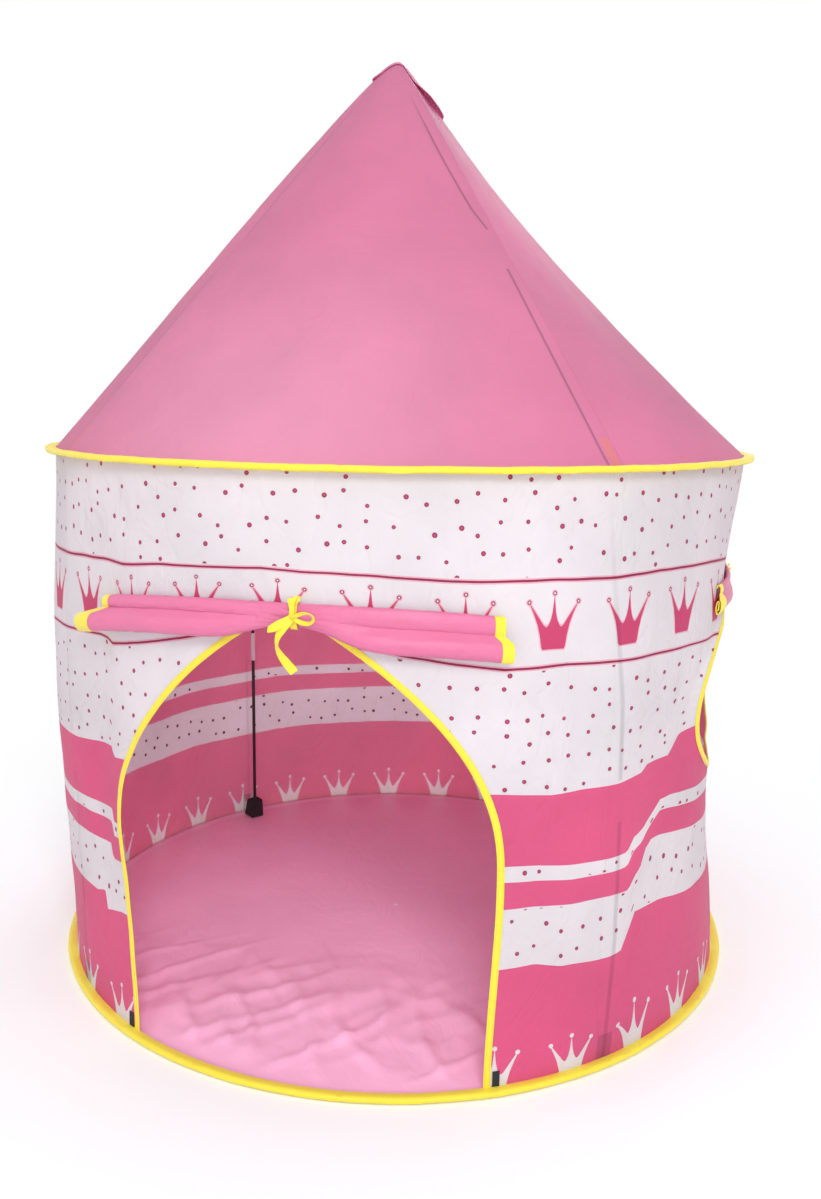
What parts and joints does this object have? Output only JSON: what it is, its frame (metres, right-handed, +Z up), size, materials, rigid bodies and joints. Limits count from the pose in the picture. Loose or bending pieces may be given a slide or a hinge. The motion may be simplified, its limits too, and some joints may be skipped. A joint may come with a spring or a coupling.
{
  "type": "kids play tent",
  "caption": "Child's round pop-up play tent with a pink cone roof, printed cloth walls, an arched door and a window with rolled-up curtains, on jointed poles.",
  "frame": {"origin": "centre of the ground sheet, on the floor", "axes": "+Z up, the door's middle faces -Y, the window faces +X"},
  "size_m": [1.0486, 1.0577, 1.3221],
  "materials": {
    "roof_cloth": "smooth taffeta with a soft sheen",
    "printed_cloth": "white taffeta printed with bands, dots and crowns in red-pink",
    "floor_cloth": "smooth taffeta, creased",
    "yellow_tape": "woven tape, stitched",
    "black_webbing": "woven webbing",
    "black_rod": "black coated rod",
    "white_plastic": "moulded",
    "spring_steel": "bare wire"
  },
  "bodies": {
    "tent": {"bottom_ring_binding": "yellow_tape", "bottom_ring_hoop": "spring_steel", "top_ring_binding": "yellow_tape", "top_ring_hoop": "spring_steel", "floor_sheet": "floor_cloth", "wall_front": "printed_cloth", "roof_front": "roof_cloth", "wall_right": "printed_cloth", "roof_right": "roof_cloth", "wall_back": "printed_cloth", "roof_back": "roof_cloth", "wall_left": "printed_cloth", "roof_left": "roof_cloth", "apex_cap": "roof_cloth", "door_binding": "yellow_tape", "window_binding": "yellow_tape", "door_tab_left": "black_webbing", "door_tab_right": "black_webbing", "wall_pole_lower_front_right": "black_rod", "wall_pole_sleeve_front_right": "white_plastic", "wall_pole_upper_front_right": "black_rod", "roof_pole_lower_front_right": "black_rod", "roof_pole_sleeve_front_right": "white_plastic", "roof_pole_upper_front_right": "black_rod", "elbow_front_right": "white_plastic", "foot_pocket_front_right": "black_webbing", "pole_tie_front_right": "yellow_tape", "wall_pole_lower_back_right": "black_rod", "wall_pole_sleeve_back_right": "white_plastic", "wall_pole_upper_back_right": "black_rod", "roof_pole_lower_back_right": "black_rod", "roof_pole_sleeve_back_right": "white_plastic", "roof_pole_upper_back_right": "black_rod", "elbow_back_right": "white_plastic", "foot_pocket_back_right": "black_webbing", "pole_tie_back_right": "yellow_tape", "wall_pole_lower_back_left": "black_rod", "wall_pole_sleeve_back_left": "white_plastic", "wall_pole_upper_back_left": "black_rod", "roof_pole_lower_back_left": "black_rod", "roof_pole_sleeve_back_left": "white_plastic", "roof_pole_upper_back_left": "black_rod", "elbow_back_left": "white_plastic", "foot_pocket_back_left": "black_webbing", "pole_tie_back_left": "yellow_tape", "wall_pole_lower_front_left": "black_rod", "wall_pole_sleeve_front_left": "white_plastic", "wall_pole_upper_front_left": "black_rod", "roof_pole_lower_front_left": "black_rod", "roof_pole_sleeve_front_left": "white_plastic", "roof_pole_upper_front_left": "black_rod", "elbow_front_left": "white_plastic", "foot_pocket_front_left": "black_webbing", "pole_tie_front_left": "yellow_tape", "apex_hub": "white_plastic"},
    "door_roll": {"door_curtain": "roof_cloth", "door_curtain_edging_left": "yellow_tape", "door_curtain_edging_right": "yellow_tape", "door_tie": "yellow_tape"},
    "window_roll": {"window_curtain": "roof_cloth"}
  },
  "joints": [
    {"name": "door_roll_swing", "type": "hinge", "parent": "tent", "child": "door_roll", "pos_m": [0, -0.512, 0.627], "axis": [-1, 0, 0], "range_deg": [0, 25]},
    {"name": "window_roll_swing", "type": "hinge", "parent": "tent", "child": "window_roll", "pos_m": [0.512, 0, 0.624], "axis": [0, -1, 0], "range_deg": [0, 25]}
  ]
}
